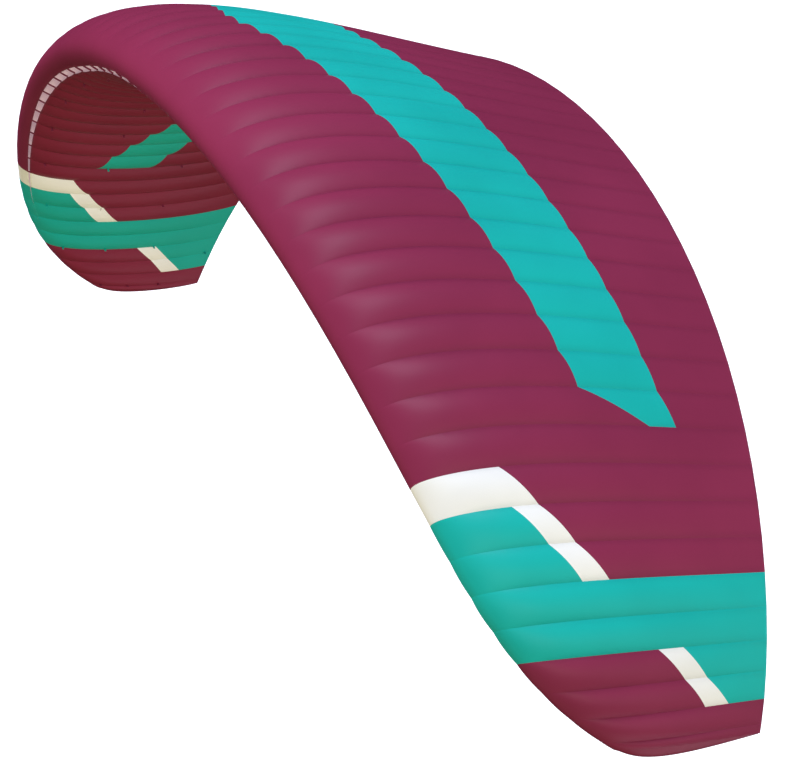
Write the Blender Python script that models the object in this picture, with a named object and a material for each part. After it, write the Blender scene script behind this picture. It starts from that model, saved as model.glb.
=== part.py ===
"""Ram-air kite canopy, built cell by cell.

The wing is an arched row of inflated cells. Every cell is one closed solid between two ribs: a loft of
airfoil sections that balloons between its ribs, with an air intake cut into its nose on the underside.
Some ribs carry webbing line tabs, which are joined to the cell beside them.

Units are metres. +X runs along the span, the leading edge faces -Y and +Z is up. The origin lies on the
underside of the middle cell, where the lines would carry the wing.
"""
from math import cos, exp, sin, sqrt

import bmesh
import bpy
from mathutils import Matrix, Vector

NAME = "ram_air_kite"

# Planform and arch; the sweeps, root chord and arch are in half flat spans
FLAT_AREA = 13.0
CELLS = 53
ROOT_CHORD = 0.507
LEADING_SWEEP = {2: 0.166, 4: -0.037, 8: 0.095, 20: 0.033}
TRAILING_SWEEP = {2: 0.068, 4: 0.038, 8: -0.023, 20: 0.006}
ARCH_SLOPE = {1: 1.05, 3: -0.164, 5: 0.40}
TIP_NARROWING = 0.52
NARROWING_POWER = 4.3
TIP_CELL_SHARE = 0.42
STRIPS = 400

# Airfoil, in chords, and how far a cell bulges, in its own widths
THICKNESS = 0.19
AIRFOIL = (0.2969, -0.1260, -0.3516, 0.2843, -0.1036)
REFLEX = 0.019
ARCH_PLACE = 0.25
BALLOON = 0.12
BALLOON_RISE = 0.07
BALLOON_FADE = 1.3

# Cells
GAP = 0.0003
TRAILING_EDGE = 0.004
SIDE_POINTS = 11
STATIONS = (0.0, 0.2, 0.5, 0.8, 1.0)

# Air intakes on the underside of the nose, further forward in the middle of the wing; places and depth
# are in chords
INTAKE_LAST_CELL = 19
INTAKE_PLACES = (0.026, 0.047)
INTAKE_FORWARD = (0.018, 0.023)
INTAKE_FORWARD_CELLS = 4
INTAKE_FULL_CELLS = 10
INTAKE_CLOSED_CELL = 21
INTAKE_DEPTH = 0.06
INTAKE_MARGIN = 0.08
CUTTER_REACH = 0.05

# Webbing line tabs; rows are places along the chord
LINE_ROWS = (0.09, 0.32, 0.60)
LINE_RIBS = range(1, 26, 3)
BRAKE_ROWS = (0.95,)
BRAKE_RIBS = range(3, 26, 4)
TAB_LENGTH = 0.020
TAB_WIDTH = 0.010
TAB_THICKNESS = 0.004
TAB_ROOT = 0.008
TAB_INSET = 0.003

BURGUNDY = (0.23, 0.028, 0.09, 1.0)
TEAL = (0.012, 0.45, 0.47, 1.0)
WHITE = (0.86, 0.86, 0.83, 1.0)
WHITE_CELL = 18
TEAL_CELLS = range(19, 23)


def power_sum(factors, share):
    """Sum of each factor times the share to its power."""
    return sum(factor * share ** power for power, factor in factors.items())


def planform(share):
    """Leading and trailing edge, in half spans, at a share of the half span."""
    return power_sum(LEADING_SWEEP, share), ROOT_CHORD - power_sum(TRAILING_SWEEP, share)


def find_half_span():
    """Half the flat span that gives the flat area."""
    strips = [planform((step + 0.5) / STRIPS) for step in range(STRIPS)]
    mean_chord = sum(trailing - leading for leading, trailing in strips) / STRIPS
    return sqrt(FLAT_AREA / (2 * mean_chord))


def rib_shares():
    """Where the ribs right of the middle stand, as shares of the half span."""
    last = (CELLS - 1) // 2
    widths = [1 - TIP_NARROWING * (cell / last) ** NARROWING_POWER for cell in range(last + 1)]
    widths[last] *= TIP_CELL_SHARE
    places = [widths[0] / 2]
    for width in widths[1:]:
        places.append(places[-1] + width)
    return [place / places[-1] for place in places]


def arch_point(share):
    """X and Z of the arch in half spans, summed over short straight steps."""
    x = z = 0.0
    for step in range(STRIPS):
        slope = power_sum(ARCH_SLOPE, share * (step + 0.5) / STRIPS)
        x += cos(slope) * share / STRIPS
        z -= sin(slope) * share / STRIPS
    return x, z


def skin_height(place, side):
    """Height of the upper (+1) or lower (-1) skin over the chord line, in chords."""
    powers = (sqrt(place), place, place ** 2, place ** 3, place ** 4)
    half_thickness = 5 * THICKNESS * sum(factor * power for factor, power in zip(AIRFOIL, powers))
    mean_line = 4 * REFLEX * place * (1 - place) * (1 - 2 * place)
    return mean_line + side * half_thickness


class Rib:
    """A rib's plane, square to the arch, with the chord laid along Y."""

    def __init__(self, share, side_of_wing, half_span):
        slope = power_sum(ARCH_SLOPE, share) * side_of_wing
        x, z = arch_point(share)
        leading, trailing = planform(share)
        self.span = Vector((cos(slope), 0, -sin(slope)))
        self.up = Vector((sin(slope), 0, cos(slope)))
        self.chord = (trailing - leading) * half_span
        self.leading_edge = Vector((x * side_of_wing, leading, z)) * half_span

    def skin(self, place, side):
        height = skin_height(place, side) * self.chord + side * TRAILING_EDGE / 2 * place
        return self.leading_edge + Vector((0, place * self.chord, 0)) + height * self.up

    def outward(self, place, side):
        """The skin's normal in the rib's plane."""
        if place == 0:
            return Vector((0, -1, 0))
        step = place / 20
        along = self.skin(min(place + step, 1), side) - self.skin(place - step, side)
        return (side * self.span.cross(along)).normalized()


class Cell:
    """The space between two ribs, with t running from 0 to 1 across it."""

    def __init__(self, name, low, high):
        self.name = name
        self.low = low
        self.high = high
        self.width = (high.skin(ARCH_PLACE, 1) - low.skin(ARCH_PLACE, 1)).length

    def outward(self, place, side, t):
        mixed = self.low.outward(place, side).lerp(self.high.outward(place, side), t)
        return mixed.normalized()

    def skin(self, place, side, t):
        """A point on the ballooned skin; the bulge grows behind the nose and fades out at the tail."""
        ruled = self.low.skin(place, side).lerp(self.high.skin(place, side), t)
        growth = 1 - exp(-((place / BALLOON_RISE) ** 1.2))
        bulge = BALLOON * self.width * 4 * t * (1 - t) * growth * (1 - place) ** BALLOON_FADE
        return ruled + bulge * self.outward(place, side, t)


def section_places():
    """Chord places with their sides, from the upper trailing edge round the nose to the lower one."""
    places = [(step / (SIDE_POINTS - 1)) ** 2 for step in range(SIDE_POINTS)]
    upper = [(place, 1) for place in reversed(places)]
    lower = [(place, -1) for place in places[1:]]
    return upper + lower


def make_object(name, bm, collection):
    bmesh.ops.recalc_face_normals(bm, faces=bm.faces)
    mesh = bpy.data.meshes.new(name)
    bm.to_mesh(mesh)
    bm.free()
    obj = bpy.data.objects.new(name, mesh)
    collection.objects.link(obj)
    return obj


def make_material(name, color):
    material = bpy.data.materials.new(name)
    material.use_nodes = True
    shader = material.node_tree.nodes["Principled BSDF"]
    shader.inputs["Base Color"].default_value = color
    shader.inputs["Roughness"].default_value = 0.55
    shader.inputs["Metallic"].default_value = 0.0
    return material


def loft_cell(cell, origin, collection):
    """Airfoil rings at the stations, joined by quads and closed by a flat face at each rib."""
    bm = bmesh.new()
    inset = GAP / 2
    rings = []
    for t in STATIONS:
        edge_shift = (1 - 2 * t) * inset * (cell.low.span + cell.high.span).normalized()
        points = [cell.skin(place, side, t) + edge_shift - origin for place, side in section_places()]
        rings.append([bm.verts.new(point) for point in points])
    for ring, next_ring in zip(rings, rings[1:]):
        for index in range(len(ring)):
            after = (index + 1) % len(ring)
            bm.faces.new((ring[index], ring[after], next_ring[after], next_ring[index]))
    bm.faces.new(rings[0])
    bm.faces.new(rings[-1])
    return make_object(cell.name, bm, collection)


def intake_places(number):
    """Front and rear lip of a cell's intake; the outer intakes close up towards the tip."""
    shift = max(0, 1 - number / INTAKE_FORWARD_CELLS)
    front = INTAKE_PLACES[0] - shift * INTAKE_FORWARD[0]
    rear = INTAKE_PLACES[1] - shift * INTAKE_FORWARD[1]
    closing = max(0, number - INTAKE_FULL_CELLS) / (INTAKE_CLOSED_CELL - INTAKE_FULL_CELLS)
    trim = closing * (rear - front) / 2
    return front + trim, rear - trim


def intake_cutter(cell, number, origin, collection):
    """A wedge through the lower nose: wide at the skin, narrower inside."""
    bm = bmesh.new()
    bmesh.ops.create_cube(bm, size=2)
    chord = (cell.low.chord + cell.high.chord) / 2
    front, rear = intake_places(number)
    for vert in bm.verts:
        t = INTAKE_MARGIN if vert.co.x < 0 else 1 - INTAKE_MARGIN
        place = front if vert.co.y < 0 else rear
        depth = -CUTTER_REACH if vert.co.z < 0 else INTAKE_DEPTH * chord
        vert.co = cell.skin(place, -1, t) - depth * cell.outward(place, -1, t) - origin
    return make_object(cell.name + "_intake_cutter", bm, collection)


def line_tabs(cell, rib, rows, origin, collection):
    """Flat webbing tabs that hang from the skin beside one of the cell's ribs."""
    bm = bmesh.new()
    towards_rib = 1 if rib is cell.high else -1
    axes = Matrix((rib.span, Vector((0, 1, 0)), rib.up)).transposed()
    size = Vector((TAB_THICKNESS, TAB_WIDTH, TAB_LENGTH + TAB_ROOT))
    for place in rows:
        root = rib.skin(place, -1) - towards_rib * (TAB_INSET + TAB_THICKNESS / 2) * rib.span - origin
        middle = root + (TAB_ROOT - size.z / 2) * rib.up
        turn = Matrix.Translation(middle) @ axes.to_4x4()
        bmesh.ops.create_cube(bm, size=1, matrix=turn @ Matrix.Diagonal(size).to_4x4())
    return make_object(cell.name + "_tabs", bm, collection)


def add_boolean(obj, tool, operation):
    tool.hide_render = True
    tool.display_type = "WIRE"
    modifier = obj.modifiers.new(operation.lower(), "BOOLEAN")
    modifier.operation = operation
    modifier.object = tool


def cell_material(number, materials):
    if number == WHITE_CELL:
        return materials["white"]
    if number in TEAL_CELLS:
        return materials["teal"]
    return materials["burgundy"]


def make_cell(cell, number, outer_rib, origin, collections, materials):
    """One cell with its intake and tabs; number counts from 0 in the middle of the wing."""
    parts, cutters = collections
    obj = loft_cell(cell, origin, parts)
    obj.data.materials.append(cell_material(number, materials))
    if number <= INTAKE_LAST_CELL:
        add_boolean(obj, intake_cutter(cell, number, origin, cutters), "DIFFERENCE")
    rows = (LINE_ROWS if number in LINE_RIBS else ()) + (BRAKE_ROWS if number in BRAKE_RIBS else ())
    if rows:
        add_boolean(obj, line_tabs(cell, outer_rib, rows, origin, cutters), "UNION")


def new_collection(name):
    collection = bpy.data.collections.new(name)
    bpy.context.scene.collection.children.link(collection)
    return collection


def main():
    for obj in list(bpy.data.objects):
        bpy.data.objects.remove(obj, do_unlink=True)
    collections = (new_collection(NAME), new_collection("cutters"))
    materials = {
        "burgundy": make_material("burgundy_cloth", BURGUNDY),
        "teal": make_material("teal_cloth", TEAL),
        "white": make_material("white_cloth", WHITE),
    }
    half_span = find_half_span()
    shares = rib_shares()
    right = [Rib(share, 1, half_span) for share in shares]
    left = [Rib(share, -1, half_span) for share in shares]

    middle = Cell("cell_middle", left[0], right[0])
    origin = middle.skin(ARCH_PLACE, -1, 0.5)
    make_cell(middle, 0, right[0], origin, collections, materials)
    for number in range(1, len(shares)):
        right_cell = Cell(f"cell_right_{number:02d}", right[number - 1], right[number])
        left_cell = Cell(f"cell_left_{number:02d}", left[number], left[number - 1])
        make_cell(right_cell, number, right[number], origin, collections, materials)
        make_cell(left_cell, number, left[number], origin, collections, materials)


if __name__ == "__main__":
    main()
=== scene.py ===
"""Ram-air kite canopy, dressed piece by piece around the CAD frame.

The wing's skins, ribs, hems and line tabs are worked out from the same few numbers as the CAD cells.
Units are metres; +X runs along the span, the nose faces -Y and +Z is up.

A point on the wing's section is given by u, the signed root of its place along the chord: -1 is the
trailing edge of the lower skin, 0 the nose and +1 the trailing edge of the upper skin. A point between
two ribs is given by t, from 0 at the rib on the -X side to 1 at the other.
"""
from math import pi

import bmesh
import bpy
import numpy as np
from bpy.props import FloatProperty, FloatVectorProperty, PointerProperty
from bpy.types import Operator, Panel, PropertyGroup
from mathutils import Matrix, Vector


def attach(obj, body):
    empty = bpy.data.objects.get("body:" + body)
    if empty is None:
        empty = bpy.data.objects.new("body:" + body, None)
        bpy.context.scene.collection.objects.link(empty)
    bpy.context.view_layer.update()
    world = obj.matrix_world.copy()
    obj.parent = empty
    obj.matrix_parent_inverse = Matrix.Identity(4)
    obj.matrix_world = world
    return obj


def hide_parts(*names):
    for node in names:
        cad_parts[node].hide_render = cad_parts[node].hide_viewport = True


bl_info = {
    "name": "Ram-air Kite Canopy",
    "version": (1, 0, 0),
    "blender": (4, 5, 0),
    "location": "3D View > Sidebar > Kite",
    "description": "Sews the skins, ribs, hems and line tabs of a ram-air kite canopy",
    "category": "Add Mesh",
}

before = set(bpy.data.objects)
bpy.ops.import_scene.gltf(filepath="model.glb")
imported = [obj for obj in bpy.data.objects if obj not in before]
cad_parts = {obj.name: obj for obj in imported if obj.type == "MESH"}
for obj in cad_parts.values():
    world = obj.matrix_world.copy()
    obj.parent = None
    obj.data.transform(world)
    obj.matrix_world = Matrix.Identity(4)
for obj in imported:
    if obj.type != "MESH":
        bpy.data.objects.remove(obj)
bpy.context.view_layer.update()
BODY = "root"

# Planform and arch, as factors of powers of the share of the half span
CELLS = 53
LAST = (CELLS - 1) // 2
ROOT_CHORD = 0.507
LEADING_SWEEP = {2: 0.166, 4: -0.037, 8: 0.095, 20: 0.033}
TRAILING_SWEEP = {2: 0.068, 4: 0.038, 8: -0.023, 20: 0.006}
ARCH_SLOPE = {1: 1.05, 3: -0.164, 5: 0.40}
TIP_NARROWING = 0.52
NARROWING_POWER = 4.3
TIP_CELL_SHARE = 0.42
STRIPS = 400

# Section, in chords
AIRFOIL = {1: 0.2969, 2: -0.1260, 4: -0.3516, 6: 0.2843, 8: -0.1036}
ARCH_PLACE = 0.25
TRAILING_EDGE = 0.004

# Air intakes, as chord places on the underside: how far forward the middle one lies, over how many
# cells that fades, and the ribs between which they close
INTAKE_PLACES = (0.026, 0.047)
INTAKE_FORWARD = (0.018, 0.023)
INTAKE_FORWARD_CELLS = 4
INTAKE_FULL = 9.5
INTAKE_CLOSED = 20.5

# Colour design, as chord places at the ribs
WHITE_OUTER = {17: 0.201, 18: 0.268, 19: 0.336, 20: 0.405}
WHITE_INNER = {18: 0.191, 19: 0.252, 20: 0.312}
STRIP_FRONT = {22: 0.505, 23: 0.585, 24: 0.650}
STRIP_REAR = {22: 0.615, 23: 0.695, 24: 0.788}
BAND_LAST = 16
BAND_END = (0.690, 0.775)
PATCH_CELLS = range(12, 17)
PATCH_WIDTH = 0.20

# Line tabs
LINE_ROWS = (0.09, 0.32, 0.60)
LINE_RIBS = range(1, 26, 3)
BRAKE_ROWS = (0.95,)
BRAKE_RIBS = range(3, 26, 4)
TAB_INSET = 0.003

# Bulge at the nose of a closed tip cell, as a share of its greatest; bulge of the tip panels in
# thicknesses, and the chord place by which it has mostly grown
NOSE_BULGE = 0.25
TIP_BULGE = 0.36
TIP_RISE = 0.08

# Seam allowance past each rib, in cell widths, and how deep it tucks in
SEAM_ALLOWANCE = 0.020
SEAM_TUCK = 0.0008

# Tape over the ribs' edges in the intakes
BINDING_DEPTH = 0.008
BINDING_THICKNESS = 0.003

# Chord place on the upper skin up to which the cloth doesn't bulge
TAUT_LIP = 0.012

# Ease added to the distance from a seam, which lightens the painted seam shade and the puckers there and moves the
# stitches beside it: on the taut nose, how far back it lasts, and on the whole lower skin
TAUT_NOSE = 0.05
TAUT_PLACE = 0.06
TAUT_BELOW = 0.030

# Grid density: rows over the whole of one skin and columns over one cell
ROWS = 58
COLUMNS = 12


class KiteShape(PropertyGroup):
    """Sizes of the wing."""

    flat_area: FloatProperty(name="Flat Area", description="Area of the wing laid flat", default=13.0)
    thickness: FloatProperty(name="Thickness", description="Section thickness in chords", default=0.19)
    reflex: FloatProperty(name="Reflex", description="Reflex of the mean line in chords", default=0.019)
    bulge: FloatProperty(name="Bulge", description="Greatest bulge in cell widths", default=0.14)
    bulge_below: FloatProperty(
        name="Bulge Below", description="Bulge of the lower skin as a share of the upper one's", default=1.0
    )
    bulge_rise: FloatProperty(
        name="Bulge Rise", description="Chord place by which the bulge has mostly grown", default=0.07
    )
    bulge_fade: FloatProperty(name="Bulge Fade", description="How fast the bulge fades aft", default=0.85)
    cloth: FloatProperty(
        name="Cloth", description="Thickness of the cloth", default=0.0008, subtype="DISTANCE", unit="LENGTH"
    )
    hem: FloatProperty(
        name="Hem", description="Width of the hems", default=0.010, subtype="DISTANCE", unit="LENGTH"
    )
    tab_length: FloatProperty(
        name="Tab Length", description="Length of a line tab", default=0.020, subtype="DISTANCE", unit="LENGTH"
    )
    tab_width: FloatProperty(
        name="Tab Width", description="Width of a line tab", default=0.010, subtype="DISTANCE", unit="LENGTH"
    )
    tab_thickness: FloatProperty(
        name="Tab Thickness", description="Thickness of a line tab's loop", default=0.004, unit="LENGTH"
    )


class KiteColours(PropertyGroup):
    """Colours of the cloths and tapes."""

    burgundy: FloatVectorProperty(
        name="Burgundy", description="Ground cloth", default=(0.232, 0.022, 0.070), subtype="COLOR"
    )
    # Burgundy with the shade and warm light that fall on the lower skin painted in
    burgundy_shaded_below: FloatVectorProperty(
        name="Underside", description="Ground cloth of the lower skin", default=(0.240, 0.019, 0.057), subtype="COLOR"
    )
    # White with the light that falls on the lower skin painted in, brighter and bluer than the upper white
    white_lit_below: FloatVectorProperty(
        name="Pale", description="Stripe cloth of the lower skin", default=(0.90, 0.93, 0.97), subtype="COLOR"
    )
    teal: FloatVectorProperty(
        name="Teal", description="Band cloth", default=(0.004, 0.445, 0.400), subtype="COLOR"
    )
    white: FloatVectorProperty(
        name="White", description="Stripe cloth", default=(0.82, 0.85, 0.81), subtype="COLOR"
    )
    # White rib cloth tinted pink by painted bounce light from the burgundy skins
    rib_white_lit_pink: FloatVectorProperty(
        name="Rib White", description="Rib cloth", default=(0.90, 0.70, 0.76), subtype="COLOR"
    )


class KiteStage(PropertyGroup):
    """Camera, lights and floor."""

    camera_place: FloatVectorProperty(
        name="Camera", description="Place of the camera", default=(10.421, -4.025, 2.224), subtype="TRANSLATION"
    )
    camera_turn: FloatVectorProperty(
        name="Camera Turn", description="Turn of the camera", default=(1.2713, -0.0912, 1.1479), subtype="EULER"
    )
    lens: FloatProperty(name="Lens", description="Focal length in millimetres", default=112.8)
    floor_height: FloatProperty(
        name="Floor Height", description="Height of the floor", default=-7.0, subtype="DISTANCE", unit="LENGTH"
    )
    floor_colour: FloatVectorProperty(
        name="Floor Colour", description="Colour of the floor", default=(0.9, 0.9, 0.9), subtype="COLOR"
    )
    key_strength: FloatProperty(name="Key", description="Strength of the overhead light", default=2.05)
    fill_strength: FloatProperty(name="Fill", description="Strength of the side light", default=1.2)
    front_strength: FloatProperty(name="Front", description="Strength of the front light", default=2.15)
    rear_strength: FloatProperty(name="Rear", description="Strength of the light from behind", default=0.6)
    under_strength: FloatProperty(name="Under", description="Strength of the light from below", default=1.25)
    sky_colour: FloatVectorProperty(
        name="Sky", description="Light from above", default=(0.38, 0.40, 0.52), subtype="COLOR"
    )
    ground_colour: FloatVectorProperty(
        name="Ground", description="Light from below", default=(0.62, 0.52, 0.29), subtype="COLOR"
    )


def power_sum(factors, share):
    """Sum of each factor times the share to its power, over a whole array of shares."""
    return sum(factor * share ** power for power, factor in factors.items())


def unit(vectors):
    """The vectors, each divided by its own length."""
    return vectors / np.linalg.norm(vectors, axis=-1, keepdims=True)


class Wing:
    """All ribs as arrays, from the left tip to the right one.

    Rib planes stand square to the arch, whose slope is a power sum of the share of the half span. The
    arch itself is the running sum of short steps along that slope. Chords lie along Y.
    """

    def __init__(self, shape):
        self.shape = shape
        cells = np.arange(LAST + 1)
        widths = 1 - TIP_NARROWING * (cells / LAST) ** NARROWING_POWER
        widths[LAST] *= TIP_CELL_SHARE
        shares = np.cumsum(widths) - widths[0] / 2
        shares /= shares[-1]
        share = np.concatenate([shares[::-1], shares])
        side = np.concatenate([-np.ones(LAST + 1), np.ones(LAST + 1)])

        steps = (np.arange(STRIPS) + 0.5) / STRIPS
        mean_chord = (ROOT_CHORD - power_sum(TRAILING_SWEEP, steps) - power_sum(LEADING_SWEEP, steps)).mean()
        self.half_span = np.sqrt(shape.flat_area / (2 * mean_chord))
        slopes = power_sum(ARCH_SLOPE, share[:, None] * steps)
        x = np.cos(slopes).mean(axis=1) * share * side
        z = -np.sin(slopes).mean(axis=1) * share
        leading = power_sum(LEADING_SWEEP, share)
        trailing = ROOT_CHORD - power_sum(TRAILING_SWEEP, share)
        slope = power_sum(ARCH_SLOPE, share) * side
        flat = np.zeros_like(slope)
        self.span = np.stack([np.cos(slope), flat, -np.sin(slope)], axis=-1)
        self.up = np.stack([np.sin(slope), flat, np.cos(slope)], axis=-1)
        self.chord = (trailing - leading) * self.half_span
        self.edge = np.stack([x, leading, z], axis=-1) * self.half_span
        nose = np.sqrt(ARCH_PLACE)
        ribs = np.arange(2 * LAST + 2)
        over = self.rib_point(ribs, np.full(len(ribs), nose))
        self.width = np.linalg.norm(np.diff(over, axis=0), axis=-1)
        self.edge = self.edge - self.skin(np.array(LAST), np.array(-nose), np.array(0.5))

    def rib_point(self, rib, u):
        """Point on a rib's outline.

        It lies u squared chords behind the nose. Its height is the reflexed mean line plus, on the side
        that u's sign gives, half the thickness: a polynomial of the size of u.
        """
        place = u * u
        side = np.sign(u)
        thickness = 5 * self.shape.thickness * side * power_sum(AIRFOIL, np.abs(u))
        mean_line = 4 * self.shape.reflex * place * (1 - place) * (1 - 2 * place)
        chord = self.chord[rib]
        height = (mean_line + thickness) * chord + side * TRAILING_EDGE / 2 * place
        along = np.zeros(np.shape(height) + (3,))
        along[..., 1] = place * chord
        return self.edge[rib] + along + height[..., None] * self.up[rib]

    def rib_normal(self, rib, u):
        """Outward normal in the rib's plane: the span axis crossed with a short step along the outline."""
        step = 0.001
        along = self.rib_point(rib, u + step) - self.rib_point(rib, u - step)
        return unit(np.cross(self.span[rib], along))

    def normal(self, cell, u, t):
        """Outward normal of the skin, mixed from those of the two ribs."""
        share = t[..., None]
        return unit((1 - share) * self.rib_normal(cell, u) + share * self.rib_normal(cell + 1, u))

    def skin(self, cell, u, t):
        """Point on the skin: straight from rib to rib, plus a bulge along the normal.

        The bulge is a parabola of t. It grows from nothing at the nose and the intakes, where the
        cloth is cut tight, and fades to nothing at the trailing edge; the closed tip cells bulge a
        little at the nose too. Past a rib the cloth tucks in under its neighbour.
        """
        share = t[..., None]
        ruled = (1 - share) * self.rib_point(cell, u) + share * self.rib_point(cell + 1, u)
        place = np.clip(u * u, 0, 1)
        behind = np.clip(place - np.where(u < 0, INTAKE_PLACES[0], TAUT_LIP), 0, 1)
        growth = 1 - np.exp(-((behind / self.shape.bulge_rise) ** 1.2))
        closed = NOSE_BULGE * np.clip((cell_number(cell) - 18) / 3, 0, 1)
        growth = closed + (1 - closed) * growth
        fade = (1 - place) ** self.shape.bulge_fade
        size = self.shape.bulge * np.where(u < 0, self.shape.bulge_below, 1.0) * self.width[cell]
        bulge = size * 4 * t * (1 - t) * growth * fade
        bulge = bulge - SEAM_TUCK * (0.4 + 0.6 * growth) * ((t < 0) | (t > 1))
        return ruled + bulge[..., None] * self.normal(cell, u, t)


def travelled(points, axis):
    """Distance along one axis of a grid of points, counted from its first row or column."""
    steps = np.linalg.norm(np.diff(points, axis=axis), axis=-1)
    start = np.zeros_like(np.take(steps, [0], axis=axis))
    return np.concatenate([start, np.cumsum(steps, axis=axis)], axis=axis)


def grid_faces(rows, columns):
    """Quads of a grid of points, wound so that across and then along turns outwards."""
    index = np.arange(rows * columns).reshape(rows, columns)
    corners = [index[:-1, :-1], index[:-1, 1:], index[1:, 1:], index[1:, :-1]]
    return np.stack(corners, axis=-1).reshape(-1, 4)


class Pattern:
    """Grids of points that become one piece, with their cloth coordinates.

    Each point carries its distances across and along the cut panel, in metres, and its distance from
    the nearest rib seam and from the nearest end of the panel. Where the cloth is taut, and all over the
    lower skin, ease is added to the first of these, so that the seam draws it in less and the painted
    shade along the seam is lighter.
    """

    def __init__(self):
        self.points = []
        self.faces = []
        self.cloth = []
        self.seam = []
        self.hem = []
        self.count = 0
        self.area = 0.0

    def add(self, points, ease=0.0):
        rows, columns = points.shape[:2]
        across = travelled(points, 1)
        along = travelled(points, 0)
        self.points.append(points.reshape(-1, 3))
        self.faces.append(grid_faces(rows, columns) + self.count)
        self.cloth.append(np.stack([across, along], axis=-1).reshape(-1, 2))
        self.seam.append((np.minimum(across, across[:, -1:] - across) + ease).ravel())
        self.hem.append(np.minimum(along, along[-1:] - along).ravel())
        self.count += rows * columns
        diagonals = np.cross(points[1:, 1:] - points[:-1, :-1], points[1:, :-1] - points[:-1, 1:])
        self.area += np.linalg.norm(diagonals, axis=-1).sum() / 2

    def mesh(self, name):
        """The grids as one mesh, smooth but for its borders, so that the cloth's cut edge shades alone."""
        mesh = bpy.data.meshes.new(name)
        faces = np.concatenate(self.faces)
        mesh.from_pydata(np.concatenate(self.points).tolist(), [], faces.tolist())
        layer = mesh.uv_layers.new(name="Cloth")
        layer.data.foreach_set("uv", np.concatenate(self.cloth)[faces.ravel()].ravel())
        for label, values in (("seam", self.seam), ("hem", self.hem)):
            attribute = mesh.attributes.new(label, "FLOAT", "POINT")
            attribute.data.foreach_set("value", np.concatenate(values))
        mesh.shade_smooth()
        edges = np.empty(len(mesh.loops), dtype=np.int32)
        mesh.loops.foreach_get("edge_index", edges)
        border = np.bincount(edges, minlength=len(mesh.edges)) == 1
        mesh.attributes.new("sharp_edge", "BOOLEAN", "EDGE").data.foreach_set("value", border)
        return mesh


def show(name, mesh, material):
    """Put a mesh into the scene at the origin, riding on the canopy."""
    obj = bpy.data.objects.new(name, mesh)
    bpy.context.scene.collection.objects.link(obj)
    mesh.materials.append(material)
    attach(obj, BODY)
    return obj


def sew(name, pattern, material, slot, cells, thickness, welded=False):
    """A cloth piece from its pattern, given its thickness inwards."""
    mesh = pattern.mesh(name)
    if welded:
        weld(mesh)
    obj = show(name, mesh, material)
    wall = obj.modifiers.new("cloth", "SOLIDIFY")
    wall.thickness = thickness
    wall.offset = -1.0
    if cells:
        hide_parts(*cells)
    return obj


def weld(mesh):
    bm = bmesh.new()
    bm.from_mesh(mesh)
    bmesh.ops.remove_doubles(bm, verts=bm.verts, dist=1e-5)
    bm.to_mesh(mesh)
    bm.free()


def cell_number(cell):
    """How many cells out from the middle one a cell lies."""
    return abs(cell - LAST)


def cell_node(cell):
    """Name of the CAD node of a cell."""
    number = cell_number(cell)
    if number == 0:
        return "cell_middle"
    side = "right" if cell > LAST else "left"
    return f"cell_{side}_{number:02d}"


def rib_number(rib):
    """How many ribs out from the middle cell's edge a rib lies."""
    return rib - LAST - 1 if rib > LAST else LAST - rib


def intake_lips(rib):
    """Front and rear place of the intake at a rib; the outer ones close up to a seam."""
    shift = max(0, 1 - rib_number(rib) / INTAKE_FORWARD_CELLS)
    front = INTAKE_PLACES[0] - shift * INTAKE_FORWARD[0]
    rear = INTAKE_PLACES[1] - shift * INTAKE_FORWARD[1]
    closing = np.clip((rib_number(rib) - INTAKE_FULL) / (INTAKE_CLOSED - INTAKE_FULL), 0, 1)
    trim = closing * (rear - front) / 2
    return front + trim, rear - trim


def band_front(number):
    return 0.262 + 0.0165 * number


def band_rear(number):
    return 0.560 + 0.0125 * number


def patch_front(number):
    return 0.50 - 0.045 * (number - 11)


def colour_lines(number, upper):
    """Colours of a cell from nose to tail, with the line behind each at its inner and outer rib.

    The last colour runs to the trailing edge, so its line is left out.
    """
    inner = max(number - 1, 0)
    outer = number
    if upper and number <= BAND_LAST:
        end = BAND_END if number == BAND_LAST else (band_front(outer), band_rear(outer))
        return [("burgundy", (band_front(inner), end[0])), ("teal", (band_rear(inner), end[1])), ("burgundy", None)]
    if not upper and number in PATCH_CELLS:
        front = (patch_front(inner), patch_front(outer))
        rear = (front[0] + PATCH_WIDTH, front[1] + PATCH_WIDTH)
        return [("burgundy", front), ("teal", rear), ("burgundy", None)]
    if number <= 17 or number >= 25:
        return [("burgundy", None)]
    if number == 18:
        return [("white", (WHITE_OUTER[17], WHITE_OUTER[18])), ("burgundy", None)]
    if number in (19, 20):
        front = (WHITE_INNER[inner], WHITE_INNER[outer])
        rear = (WHITE_OUTER[inner], WHITE_OUTER[outer])
        return [("teal", front), ("white", rear), ("burgundy", None)]
    if number in (21, 22):
        return [("teal", None)]
    front = (STRIP_FRONT[inner], STRIP_FRONT[outer])
    rear = (STRIP_REAR[inner], STRIP_REAR[outer])
    return [("burgundy", front), ("white", rear), ("teal", None)]


def panel_name(cell, colour, line, upper):
    """Which sewn piece a colour panel belongs to."""
    number = cell_number(cell)
    skin = "upper" if upper else "lower"
    side = "right" if cell > LAST else "left"
    if number <= BAND_LAST and colour == "teal":
        return "upper_teal_band" if upper else f"lower_teal_patch_{side}"
    if colour == "burgundy" and number >= 23:
        return f"{skin}_burgundy_tip_{side}"
    if colour == "burgundy":
        return f"{skin}_burgundy"
    if colour == "white" and number >= 23:
        return f"{skin}_white_strip_{side}"
    return f"{skin}_{colour}_{side}"


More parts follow.
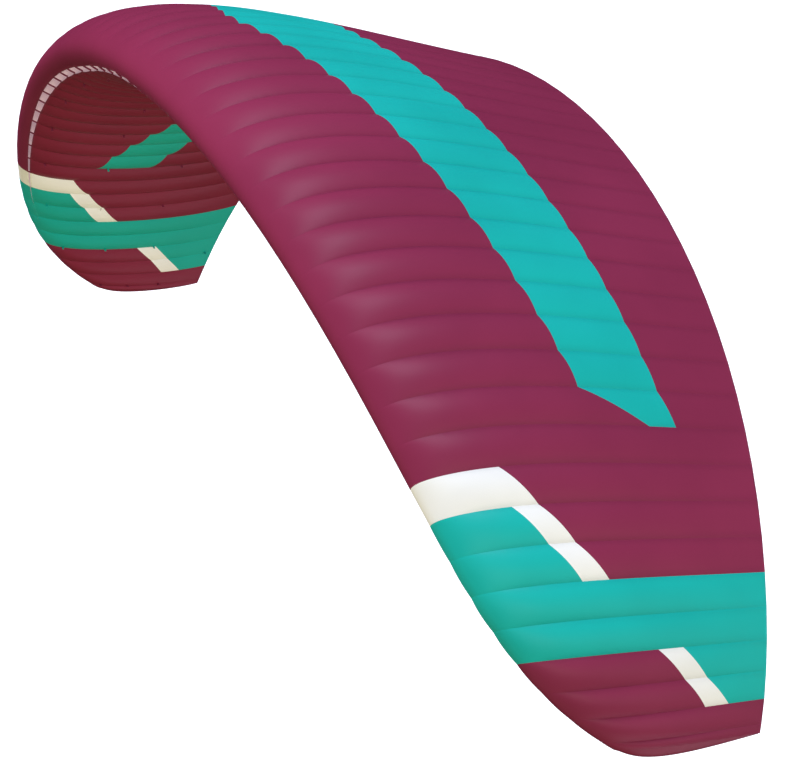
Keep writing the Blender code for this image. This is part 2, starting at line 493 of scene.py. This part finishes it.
def panel_grid(wing, cell, front, rear):
    """Grid of one colour panel between two lines across a cell, with the ease at its seams that lightens their
    painted shade.

    Each line gives the signed root u at the cell's two ribs; places, not roots, run straight between
    them, so that a line stays straight on the cloth. Rows are spread evenly over u. One more column on
    either side is the seam allowance.
    """
    t = np.linspace(0, 1, COLUMNS + 1)
    t = np.concatenate([[-SEAM_ALLOWANCE], t, [1 + SEAM_ALLOWANCE]])

    def root(line):
        low, high = (np.sign(value) * value ** 2 for value in line)
        place = low + (high - low) * t
        return np.sign(place) * np.sqrt(np.abs(place))

    start = root(front)
    end = root(rear)
    rows = max(3, int(np.ceil(np.abs(end - start).max() * ROWS)))
    share = np.linspace(0, 1, rows + 1)[:, None]
    u = start + (end - start) * share
    # The ease lightens the painted seam shade on the nose and on the lower skin
    ease = TAUT_NOSE * np.exp(-u * u / TAUT_PLACE) + TAUT_BELOW * (u < 0)
    return wing.skin(np.full(u.shape, cell), u, np.broadcast_to(t, u.shape)), ease


def skin_panels(wing, upper):
    """All colour panels of one skin, gathered into patterns by piece."""
    sign = 1 if upper else -1
    patterns = {}
    for cell in range(CELLS):
        right = cell >= LAST
        lips = [intake_lips(rib)[0 if upper else 1] for rib in (cell, cell + 1)]
        nose = tuple(-np.sqrt(lip) for lip in lips)
        start = nose
        for colour, line in colour_lines(cell_number(cell), upper):
            ends = (1.0, 1.0) if line is None else (line if right else line[::-1])
            stop = tuple(sign * np.sqrt(place) for place in ends)
            lines = (start, stop) if upper else (stop, start)
            grid, ease = panel_grid(wing, cell, *lines)
            name = panel_name(cell, colour, line, upper)
            pattern, cells = patterns.setdefault(name, (Pattern(), set()))
            pattern.add(grid, ease)
            cells.add(cell)
            start = stop
    return patterns


class Value:
    """A shader socket that Python's operators work on, each adding one Math node."""

    def __init__(self, tree, socket):
        self.tree = tree
        self.socket = socket

    def math(self, operation, *others, first=None):
        values = [self if first is None else first] + [other for other in others]
        return self.tree.add("ShaderNodeMath", {"operation": operation}, dict(enumerate(values)))

    def __add__(self, other):
        return self.math("ADD", other)

    def __radd__(self, other):
        return self.math("ADD", self, first=other)

    def __sub__(self, other):
        return self.math("SUBTRACT", other)

    def __rsub__(self, other):
        return self.math("SUBTRACT", self, first=other)

    def __mul__(self, other):
        return self.math("MULTIPLY", other)

    def __rmul__(self, other):
        return self.math("MULTIPLY", self, first=other)

    def __truediv__(self, other):
        return self.math("DIVIDE", other)

    def between(self, low, high):
        """0 below low, 1 above high and a smooth step between them."""
        settings = {"interpolation_type": "SMOOTHSTEP", "clamp": True}
        sockets = {"Value": self, "From Min": low, "From Max": high, "To Min": 0.0, "To Max": 1.0}
        return self.tree.add("ShaderNodeMapRange", settings, sockets)

    def near_lines(self, period, width):
        """1 on lines that repeat every period, falling to 0 at width from them."""
        return 1 - self.math("PINGPONG", period / 2).between(0.0, width)


class ClothTree:
    """The nodes of one material."""

    def __init__(self, name):
        self.material = bpy.data.materials.new(name)
        self.material.use_nodes = True
        self.nodes = self.material.node_tree.nodes
        self.links = self.material.node_tree.links
        self.shader = self.nodes["Principled BSDF"]

    def add(self, kind, settings=None, sockets=None, output=0):
        """A node of a kind, with its settings made first and then its sockets set or linked."""
        node = self.nodes.new(kind)
        for label, value in (settings or {}).items():
            setattr(node, label, value)
        for label, value in (sockets or {}).items():
            self.feed(node.inputs[label], value)
        return Value(self, node.outputs[output])

    def feed(self, socket, value):
        if isinstance(value, Value):
            self.links.new(value.socket, socket)
        else:
            socket.default_value = value

    def finish(self, **sockets):
        """Set or link the shader's own sockets, named with underscores for spaces."""
        for label, value in sockets.items():
            self.feed(self.shader.inputs[label.replace("_", " ").title().replace("Ior", "IOR")], value)
        return self.material

    def attribute(self, name):
        return self.add("ShaderNodeAttribute", {"attribute_name": name}, output=2)

    def parts(self, vector):
        node = self.nodes.new("ShaderNodeSeparateXYZ")
        self.feed(node.inputs[0], vector)
        return [Value(self, node.outputs[axis]) for axis in range(2)]

    def noise(self, vector, scale, detail=2.0, roughness=0.5):
        sockets = {"Vector": vector, "Scale": scale, "Detail": detail, "Roughness": roughness}
        return self.add("ShaderNodeTexNoise", None, sockets)

    def scaled(self, vector, factors):
        return self.add("ShaderNodeMapping", None, {"Vector": vector, "Scale": factors})

    def mix(self, factor, first, second):
        node = self.nodes.new("ShaderNodeMix")
        node.data_type = "RGBA"
        self.feed(node.inputs[0], factor)
        self.feed(node.inputs[6], first)
        self.feed(node.inputs[7], second)
        return Value(self, node.outputs[2])

    def bump(self, height):
        """Normal from a height in metres."""
        sockets = {"Height": height, "Distance": 1.0, "Strength": 1.0}
        return self.add("ShaderNodeBump", None, sockets)


def shade(colour, factor):
    """A colour made lighter or darker, with its alpha."""
    return tuple(min(channel * factor, 1.0) for channel in colour) + (1.0,)


def ripstop(name, colour, glow=0.0):
    """Coated ripstop cloth.

    A grid of thicker threads every 6 mm, broad fading, soft puckers that gather towards the rib seams,
    and two rows of stitches beside each seam and along each panel's ends.
    """
    tree = ClothTree(name)
    cloth = tree.add("ShaderNodeUVMap", {"uv_map": "Cloth"})
    across, along = tree.parts(cloth)
    seam = tree.attribute("seam")
    hem = tree.attribute("hem")
    place = tree.add("ShaderNodeTexCoord", output=3)

    threads = across.near_lines(0.006, 0.0009).math("MAXIMUM", along.near_lines(0.006, 0.0009))
    dashes = along.near_lines(0.005, 0.0016)
    side_stitches = (seam - 0.006).math("ABSOLUTE").between(0.0010, 0.0003) * dashes
    end_dashes = across.near_lines(0.005, 0.0016)
    end_stitches = (hem - 0.006).math("ABSOLUTE").between(0.0010, 0.0003) * end_dashes
    stitches = side_stitches.math("MAXIMUM", end_stitches)
    gather = 1 - seam.between(0.0, 0.055)
    ripples = tree.noise(tree.scaled(cloth, (5.0, 26.0, 1.0)), 1.0, 2.0, 0.45)
    puckers = gather * gather * (ripples - 0.5)
    slack = tree.noise(tree.scaled(cloth, (4.0, 2.2, 1.0)), 1.0, 2.0, 0.5) - 0.5
    fading = tree.noise(place, 1.3, 3.0, 0.55)
    seam_shadow = 1 - seam.between(0.0, 0.040)

    ground = tree.mix(fading.between(0.3, 0.7), shade(colour, 0.94), shade(colour, 1.06))
    woven = tree.mix(threads * 0.35, ground, shade(colour, 0.86))
    sewn = tree.mix(stitches * 0.4, woven, shade(colour, 1.15))
    shaded = tree.mix(seam_shadow * 0.3, sewn, shade(colour, 0.7))
    height = puckers * 0.003 + slack * 0.003 + threads * 0.00005 + stitches * 0.0001
    return tree.finish(
        base_color=shaded,
        roughness=0.46 + (fading - 0.5) * 0.12 + threads * 0.05,
        metallic=0.0,
        specular_ior_level=0.20,
        # A glow, where given, paints light into the cloth as emission
        emission_color=shade(colour, 1.0),
        emission_strength=glow,
        normal=tree.bump(height),
    )


def tape(name, colour, weave=0.0016):
    """Woven tape or webbing: fine ribs across it and a slightly lighter face where it wears."""
    tree = ClothTree(name)
    place = tree.add("ShaderNodeTexCoord", output=3)
    x, y = tree.parts(place)
    z = tree.parts(tree.add("ShaderNodeVectorRotate", {"rotation_type": "X_AXIS"}, {0: place, "Angle": pi / 2}))[1]
    ribs = (x + y + z).near_lines(weave, weave * 0.35)
    wear = tree.noise(place, 22.0, 2.0, 0.5)
    ground = tree.mix(wear.between(0.35, 0.7), shade(colour, 0.9), shade(colour, 1.15))
    return tree.finish(
        base_color=tree.mix(ribs * 0.3, ground, shade(colour, 0.85)),
        roughness=0.62 + (wear - 0.5) * 0.1,
        metallic=0.0,
        specular_ior_level=0.3,
        normal=tree.bump(ribs * 0.00015),
    )


def settings():
    """The scene's canopy settings."""
    scene = bpy.context.scene
    return scene.kite_shape, scene.kite_colours, scene.kite_stage


def material(name):
    """One of the canopy's materials, made when first asked for."""
    found = bpy.data.materials.get(name)
    if found:
        return found
    colours = bpy.context.scene.kite_colours
    makers = {
        "ripstop_burgundy": lambda: ripstop(name, colours.burgundy),
        # Copy of the burgundy with the lower skin's shade painted in
        "ripstop_burgundy_shaded_below": lambda: ripstop(name, colours.burgundy_shaded_below),
        # Lit copy of the white for the lower skin that also glows a little: painted light
        "ripstop_white_lit_below": lambda: ripstop(name, colours.white_lit_below, 0.05),
        "ripstop_teal": lambda: ripstop(name, colours.teal),
        "ripstop_white": lambda: ripstop(name, colours.white),
        # The ribs glow: painted light that brightens them inside the intakes
        "ripstop_rib_glowing": lambda: ripstop(name, colours.rib_white_lit_pink, 0.2),
        "tape_burgundy": lambda: tape(name, colours.burgundy),
        "tape_teal": lambda: tape(name, colours.teal),
        "tape_white": lambda: tape(name, colours.white),
    }
    return makers[name]()


def sew_skin(wing, upper):
    """Every colour panel of one skin, as one cloth piece for each colour area."""
    shape = wing.shape
    for name, (pattern, cells) in skin_panels(wing, upper).items():
        colour = next(label for label in ("burgundy", "teal", "white") if label in name)
        nodes = [cell_node(cell) for cell in sorted(cells)]
        # The lower skin's burgundy and white are copies of the cloths with the underside's light and shade painted in
        cloth = colour if upper else {"burgundy": "burgundy_shaded_below", "white": "white_lit_below"}.get(colour, colour)
        sew(name, pattern, material("ripstop_" + cloth), colour + "_cloth", nodes, shape.cloth)


def carried(rings, name, closed=True):
    """Mesh of rings of points, joined one to the next and closed by a face at either end."""
    stations, around = rings.shape[:2]
    index = np.arange(stations * around).reshape(stations, around)
    after = np.roll(index, -1, axis=1)
    sides = np.stack([index[:-1], after[:-1], after[1:], index[1:]], axis=-1).reshape(-1, 4).tolist()
    ends = [index[0, ::-1].tolist(), index[-1].tolist()] if closed else []
    mesh = bpy.data.meshes.new(name)
    mesh.from_pydata(rings.reshape(-1, 3).tolist(), [], sides + ends)
    return mesh


def joined(name, meshes):
    """Several meshes as one, with their faces turned outwards."""
    bm = bmesh.new()
    for mesh in meshes:
        bm.from_mesh(mesh)
        bpy.data.meshes.remove(mesh)
    bmesh.ops.recalc_face_normals(bm, faces=bm.faces)
    mesh = bpy.data.meshes.new(name)
    bm.to_mesh(mesh)
    bm.free()
    mesh.shade_smooth()
    mesh.set_sharp_from_angle(angle=0.8)
    return mesh


def path_stations(cells):
    """Cell and t of every station along a run of neighbouring cells, each rib counted once."""
    t = np.linspace(0, 1, COLUMNS + 1)
    cell = np.repeat(cells, COLUMNS)
    place = np.tile(t[:-1], len(cells))
    return np.append(cell, cells[-1]), np.append(place, 1.0)


def lip_hem(wing, cells, front):
    """Binding along one lip of the intakes.

    A flat rounded section, as long as the hem is wide, is carried along the lip. Its long side lies
    along the skin, away from the opening.
    """
    shape = wing.shape
    cell, t = path_stations(cells)
    lips = np.array([intake_lips(rib)[0 if front else 1] for rib in range(2 * LAST + 2)])
    place = lips[cell] * (1 - t) + lips[cell + 1] * t
    u = -np.sqrt(place)
    away = 1 if front else -1
    lip = wing.skin(cell, u, t)
    inwards = unit(wing.skin(cell, u + away * 0.01, t) - lip)
    outwards = wing.normal(cell, u, t)
    angle = np.linspace(0, 2 * pi, 8, endpoint=False) + pi / 8
    long = np.clip(np.cos(angle) * 1.3, -1, 1) * shape.hem / 2 + shape.hem / 2 - 0.0015
    thick = np.sin(angle) * 0.0016 - shape.cloth / 2
    rings = lip[:, None] + inwards[:, None] * long[:, None] + outwards[:, None] * thick[:, None]
    return rings


def rib_binding(wing, rib):
    """Tape folded over a rib's edge where it crosses the intake, from the front lip to the rear one."""
    front, rear = intake_lips(rib)
    u = -np.sqrt(np.linspace(front, rear, 7))
    edge = wing.rib_point(rib, u)
    inwards = -wing.rib_normal(rib, u)
    angle = np.linspace(0, 2 * pi, 8, endpoint=False) + pi / 8
    deep = np.clip(np.cos(angle) * 1.3, -1, 1) * BINDING_DEPTH / 2 + BINDING_DEPTH / 2
    wide = np.sin(angle) * BINDING_THICKNESS / 2 / np.sin(3 * pi / 8)
    return edge[:, None] + inwards[:, None] * deep[:, None] + wing.span[rib] * wide[:, None]


def trailing_hem(wing, cells):
    """Folded hem that closes the trailing edge: over the upper skin, round the edge and under the lower."""
    cell, t = path_stations(cells)
    full = np.ones(cell.shape)
    chord = wing.chord[cell] * (1 - t) + wing.chord[cell + 1] * t
    ahead = np.sqrt(1 - wing.shape.hem * 0.7 / chord)
    lift = 0.0006
    flush = 0.0002
    aft = np.array([0.0, 0.0025, 0.0])
    over = wing.skin(cell, full, t)
    under = wing.skin(cell, -full, t)
    over_normal = wing.normal(cell, full, t) * lift
    under_normal = wing.normal(cell, -full, t) * lift
    rings = [
        wing.skin(cell, ahead, t) + wing.normal(cell, ahead, t) * flush,
        over + over_normal,
        over * 0.75 + under * 0.25 + aft,
        over * 0.25 + under * 0.75 + aft,
        under + under_normal,
        wing.skin(cell, -ahead, t) + wing.normal(cell, -ahead, t) * flush,
    ]
    return np.stack(rings, axis=1)


def loop_rings(shape):
    """Rings of one line tab in its own axes: across the wing, along the chord and up.

    A flat strap goes down, round a half circle and up again, and its rounded section stays square to
    that path.
    """
    strap = 0.0012
    radius = shape.tab_thickness / 2 - strap / 2
    bottom = -shape.tab_length + shape.tab_thickness / 2
    turn = np.linspace(pi, 2 * pi, 7)
    x = np.concatenate([np.full(3, -radius), radius * np.cos(turn), np.full(3, radius)])
    straight = np.linspace(0.006, bottom + 0.002, 3)
    z = np.concatenate([straight, bottom + radius * np.sin(turn), straight[::-1]])
    step = unit(np.stack([np.gradient(x), np.gradient(z)], axis=-1))
    side = np.stack([step[:, 1], -step[:, 0]], axis=-1)
    half = shape.tab_width / 2
    offsets = np.array([(-1, -0.6), (-0.9, -1), (0.9, -1), (1, -0.6), (1, 0.6), (0.9, 1), (-0.9, 1), (-1, 0.6)])
    wide = offsets[:, 0] * half
    thick = offsets[:, 1] * strap / 2
    rings = np.empty((len(x), len(offsets), 3))
    rings[..., 0] = x[:, None] + side[:, :1] * thick
    rings[..., 1] = wide
    rings[..., 2] = z[:, None] + side[:, 1:] * thick
    return rings


class KITE_OT_upper_skin(Operator):
    """Sew the upper skin, which wraps round the nose to the intakes' front lips"""

    bl_idname = "kite.upper_skin"
    bl_label = "Upper Skin"

    def execute(self, context):
        sew_skin(Wing(context.scene.kite_shape), True)
        return {"FINISHED"}


class KITE_OT_lower_skin(Operator):
    """Sew the lower skin, from the intakes' rear lips to the trailing edge"""

    bl_idname = "kite.lower_skin"
    bl_label = "Lower Skin"

    def execute(self, context):
        sew_skin(Wing(context.scene.kite_shape), False)
        return {"FINISHED"}


RIB_EDGES = (0.0015, 0.10, 0.24, 0.42, 0.64, 0.96)
RIB_INSET = 0.0022
PORT_SIZE = 0.52
RIB_POINTS = 32
RIB_RINGS = 3


def rib_grids(wing, rib):
    """Grids of one rib: a plain nose and four panels with an oval port.

    A panel is a unit square laid between the skins, its x along the chord and its y from the lower
    skin to the upper one. Its rings run from the port's circle out to the square's edge.
    """
    def laid(x, y, front, rear):
        place = front + (rear - front) * (x + 1) / 2
        share = ((y + 1) / 2)[..., None]
        lower = wing.rib_point(rib, -np.sqrt(place)) + inset
        upper = wing.rib_point(rib, np.sqrt(place)) - inset
        return lower * (1 - share) + upper * share

    inset = wing.up[rib] * RIB_INSET
    edge = np.tan(np.linspace(-pi / 4, pi / 4, RIB_POINTS // 4 + 1))
    x, y = np.meshgrid(np.linspace(-1, 1, 9), edge)
    grids = [laid(x, y, RIB_EDGES[0], RIB_EDGES[1])]
    angle = np.linspace(0, 2 * pi, RIB_POINTS + 1) - pi / 4
    circle = np.stack([np.cos(angle), np.sin(angle)])
    square = circle / np.abs(circle).max(axis=0)
    share = np.linspace(0, 1, RIB_RINGS + 1)[:, None, None]
    rings = circle * PORT_SIZE * (1 - share) + square * share
    for front, rear in zip(RIB_EDGES[1:], RIB_EDGES[2:]):
        grids.append(laid(rings[:, 0], rings[:, 1], front, rear))
    return grids


class KITE_OT_ribs(Operator):
    """Cut the ribs, with their cross-ports, and set them between the skins"""

    bl_idname = "kite.ribs"
    bl_label = "Ribs"

    def execute(self, context):
        wing = Wing(context.scene.kite_shape)
        sides = {"left": range(1, LAST + 1), "right": range(LAST + 1, 2 * LAST + 1)}
        for side, ribs in sides.items():
            pattern = Pattern()
            for rib in ribs:
                for grid in rib_grids(wing, rib):
                    pattern.add(grid)
            heights = float((wing.chord[list(ribs)] * wing.shape.thickness).sum())
            sew(f"ribs_{side}", pattern, material("ripstop_rib_glowing"), "white_cloth", (), 0.0006, welded=True)
        return {"FINISHED"}


class KITE_OT_tip_panels(Operator):
    """Close the wing's ends with a slightly bulged panel"""

    bl_idname = "kite.tip_panels"
    bl_label = "Tip Panels"

    def execute(self, context):
        wing = Wing(context.scene.kite_shape)
        for side, rib, sign in (("left", 0, -1), ("right", 2 * LAST + 1, 1)):
            pattern = Pattern()
            pattern.add(tip_grid(wing, rib, sign))
            size = (round(float(wing.chord[rib]), 3), round(float(wing.chord[rib] * wing.shape.thickness), 3))
            cell = 0 if sign < 0 else CELLS - 1
            cloth = material("ripstop_burgundy")
            sew(f"tip_panel_{side}", pattern, cloth, "burgundy_cloth", [cell_node(cell)], wing.shape.cloth)
        return {"FINISHED"}


def tip_grid(wing, rib, sign):
    """End panel: straight lines from the lower skin to the upper one, pushed out by a parabola.

    The push grows from nothing at the nose, as one less the exponential of the place over TIP_RISE.
    """
    root = np.linspace(0.015, 0.995, 41)
    height = np.linspace(0, 1, 9)
    u, share = np.meshgrid(root, height)
    lower = wing.rib_point(rib, -u)
    upper = wing.rib_point(rib, u)
    share = share[..., None]
    flat = lower * (1 - share) + upper * share
    thickness = np.linalg.norm(upper - lower, axis=-1, keepdims=True)
    growth = 1 - np.exp(-(u * u / TIP_RISE))[..., None]
    points = flat + wing.span[rib] * sign * TIP_BULGE * thickness * growth * 4 * share * (1 - share)
    return points if sign > 0 else points[:, ::-1]


class KITE_OT_hems(Operator):
    """Bind the intakes' lips and fold the hem round the trailing edge"""

    bl_idname = "kite.hems"
    bl_label = "Hems"

    def execute(self, context):
        wing = Wing(context.scene.kite_shape)
        last = int(INTAKE_CLOSED)
        lips = {
            "burgundy": [range(LAST - 17, LAST + 18)],
            "white": [range(LAST - 18, LAST - 17), range(LAST + 18, LAST + 19)],
            "teal": [range(LAST - last, LAST - 18), range(LAST + 19, LAST + last + 1)],
        }
        for colour, runs in lips.items():
            hems = [lip_hem(wing, list(cells), front) for cells in runs for front in (True, False)]
            name = "intake_hem_" + colour
            mesh = joined(name, [carried(rings, "rings") for rings in hems])
            obj = show(name, mesh, material("tape_" + colour))
        ribs = range(LAST - 17, LAST + 19)
        bindings = [rib_binding(wing, rib) for rib in ribs]
        mesh = joined("rib_bindings", [carried(rings, "rings") for rings in bindings])
        obj = show("rib_bindings", mesh, material("tape_burgundy"))
        runs = {
            "hem_middle": (range(LAST - 20, LAST + 21), "burgundy"),
            "hem_teal_left": (range(LAST - 24, LAST - 20), "teal"),
            "hem_teal_right": (range(LAST + 21, LAST + 25), "teal"),
            "hem_tip_left": (range(0, 2), "burgundy"),
            "hem_tip_right": (range(CELLS - 2, CELLS), "burgundy"),
        }
        for name, (cells, colour) in runs.items():
            rings = trailing_hem(wing, list(cells))
            mesh = joined(name, [carried(rings, "rings")])
            obj = show(name, mesh, material("tape_" + colour))
        return {"FINISHED"}


class KITE_OT_line_tabs(Operator):
    """Sew a webbing loop to every rib that carries a line"""

    bl_idname = "kite.line_tabs"
    bl_label = "Line Tabs"

    def execute(self, context):
        wing = Wing(context.scene.kite_shape)
        shape = wing.shape
        rings = loop_rings(shape)
        meshes = {"burgundy": [], "teal": [], "white": []}
        for number in range(1, LAST + 1):
            rows = (LINE_ROWS if number in LINE_RIBS else ()) + (BRAKE_ROWS if number in BRAKE_RIBS else ())
            for place in rows:
                for sign in (-1, 1):
                    rib = LAST + 1 + number if sign > 0 else LAST - number
                    root = wing.rib_point(rib, np.array(-np.sqrt(place)))
                    root = root - sign * (TAB_INSET + shape.tab_thickness / 2) * wing.span[rib]
                    axes = np.stack([wing.span[rib], (0.0, 1.0, 0.0), wing.up[rib]])
                    meshes[colour_at(number, place)].append(carried(rings @ axes + root, "loop"))
        for colour, loops in meshes.items():
            name = "line_tabs_" + colour
            show(name, joined(name, loops), material("tape_" + colour))
        return {"FINISHED"}


def colour_at(number, place):
    """Colour of the lower skin at a place beside a cell's outer rib."""
    for colour, line in colour_lines(number, False):
        if line is None or place < line[1]:
            return colour


class KITE_OT_stage(Operator):
    """Set up the floor, the lights and the camera"""

    bl_idname = "kite.stage"
    bl_label = "Stage"

    def execute(self, context):
        scene = context.scene
        stage = scene.kite_stage
        mesh = bpy.data.meshes.new("floor")
        half = 150.0
        low = stage.floor_height
        corners = [(-half, -half, low), (half, -half, low), (half, half, low), (-half, half, low)]
        mesh.from_pydata(corners, [], [(0, 1, 2, 3)])
        floor = bpy.data.objects.new("floor", mesh)
        scene.collection.objects.link(floor)
        paint = ClothTree("floor_paint")
        colour = shade(stage.floor_colour, 1.0)
        mesh.materials.append(paint.finish(base_color=colour, roughness=1.0, emission_color=(1, 1, 1, 1)))
        paint.shader.inputs["Emission Strength"].default_value = 0.35
        paint.shader.inputs["Specular IOR Level"].default_value = 0.0
        floor.visible_diffuse = False
        floor.visible_glossy = False
        scene.world = self.surroundings(stage)
        self.sun("key", stage.key_strength, (0.0, -0.25, 1.0), 0.5, (0.82, 0.84, 1.0))
        self.sun("fill", stage.fill_strength, (0.9, -0.3, 0.12), 0.8, (1.0, 0.91, 0.68))
        self.sun("front", stage.front_strength, (-0.85, -0.65, 0.5), 0.35, (1.0, 0.93, 0.88), False)
        self.sun("rear", stage.rear_strength, (0.8, 0.6, 0.15), 0.8, (1.0, 0.93, 0.80))
        self.sun("under", stage.under_strength, (0.30, 0.5, -0.85), 0.8, (0.92, 1.0, 1.15))

        camera = bpy.data.objects.new("camera", bpy.data.cameras.new("camera"))
        scene.collection.objects.link(camera)
        camera.location = stage.camera_place
        camera.rotation_euler = stage.camera_turn
        camera.data.sensor_fit = "HORIZONTAL"
        camera.data.sensor_width = 36.0
        camera.data.lens = stage.lens
        camera.data.clip_end = 500.0
        scene.camera = camera
        scene.view_settings.view_transform = "Standard"
        return {"FINISHED"}

    def surroundings(self, stage):
        """Cool light from above that turns warm below the horizon, behind a white backdrop.

        Its reflection is left out, so that only the lights shine on the cloth.
        """
        world = bpy.data.worlds.new("studio")
        world.use_nodes = True
        nodes = world.node_tree.nodes
        links = world.node_tree.links
        direction = nodes.new("ShaderNodeTexCoord")
        split = nodes.new("ShaderNodeSeparateXYZ")
        ramp = nodes.new("ShaderNodeMapRange")
        ramp.inputs["From Min"].default_value = -0.3
        ramp.inputs["From Max"].default_value = 0.3
        mix = nodes.new("ShaderNodeMix")
        mix.data_type = "RGBA"
        mix.inputs[6].default_value = shade(stage.ground_colour, 1.0)
        mix.inputs[7].default_value = shade(stage.sky_colour, 1.0)
        seen = nodes.new("ShaderNodeMix")
        seen.data_type = "RGBA"
        seen.inputs[7].default_value = (1.0, 1.0, 1.0, 1.0)
        ray = nodes.new("ShaderNodeLightPath")
        links.new(direction.outputs["Generated"], split.inputs[0])
        links.new(split.outputs["Z"], ramp.inputs["Value"])
        links.new(ramp.outputs[0], mix.inputs[0])
        links.new(mix.outputs[2], seen.inputs[6])
        links.new(ray.outputs["Is Camera Ray"], seen.inputs[0])
        matt = nodes.new("ShaderNodeMath")
        matt.operation = "SUBTRACT"
        matt.inputs[0].default_value = 1.0
        links.new(ray.outputs["Is Glossy Ray"], matt.inputs[1])
        links.new(matt.outputs[0], nodes["Background"].inputs["Strength"])
        links.new(seen.outputs[2], nodes["Background"].inputs["Color"])
        return world

    def sun(self, name, strength, towards, spread, colour, shines=True):
        """A broad distant light that stands in the direction given, with or without a highlight."""
        light = bpy.data.lights.new(name, "SUN")
        light.energy = strength
        light.angle = spread
        light.color = colour
        obj = bpy.data.objects.new(name, light)
        obj.visible_glossy = shines
        obj.rotation_euler = Vector(towards).to_track_quat("Z", "Y").to_euler()
        bpy.context.scene.collection.objects.link(obj)


class KITE_PT_canopy(Panel):
    """Sidebar panel that lists the canopy's pieces and settings"""

    bl_label = "Kite Canopy"
    bl_idname = "KITE_PT_canopy"
    bl_space_type = "VIEW_3D"
    bl_region_type = "UI"
    bl_category = "Kite"

    def draw(self, context):
        layout = self.layout
        for operator in OPERATORS:
            layout.operator(operator.bl_idname)
        for group in (context.scene.kite_shape, context.scene.kite_colours, context.scene.kite_stage):
            box = layout.box()
            for label in group.__annotations__:
                box.prop(group, label)


GROUPS = (KiteShape, KiteColours, KiteStage)
OPERATORS = (
    KITE_OT_stage,
    KITE_OT_upper_skin,
    KITE_OT_lower_skin,
    KITE_OT_ribs,
    KITE_OT_tip_panels,
    KITE_OT_hems,
    KITE_OT_line_tabs,
)
CLASSES = GROUPS + OPERATORS + (KITE_PT_canopy,)


def register():
    for cls in CLASSES:
        bpy.utils.register_class(cls)
    bpy.types.Scene.kite_shape = PointerProperty(type=KiteShape)
    bpy.types.Scene.kite_colours = PointerProperty(type=KiteColours)
    bpy.types.Scene.kite_stage = PointerProperty(type=KiteStage)


def unregister():
    del bpy.types.Scene.kite_stage
    del bpy.types.Scene.kite_colours
    del bpy.types.Scene.kite_shape
    for cls in reversed(CLASSES):
        bpy.utils.unregister_class(cls)


def main():
    register()
    bpy.ops.kite.stage()
    bpy.ops.kite.upper_skin()
    bpy.ops.kite.lower_skin()
    bpy.ops.kite.ribs()
    bpy.ops.kite.tip_panels()
    bpy.ops.kite.hems()
    bpy.ops.kite.line_tabs()


if __name__ == "__main__":
    main()
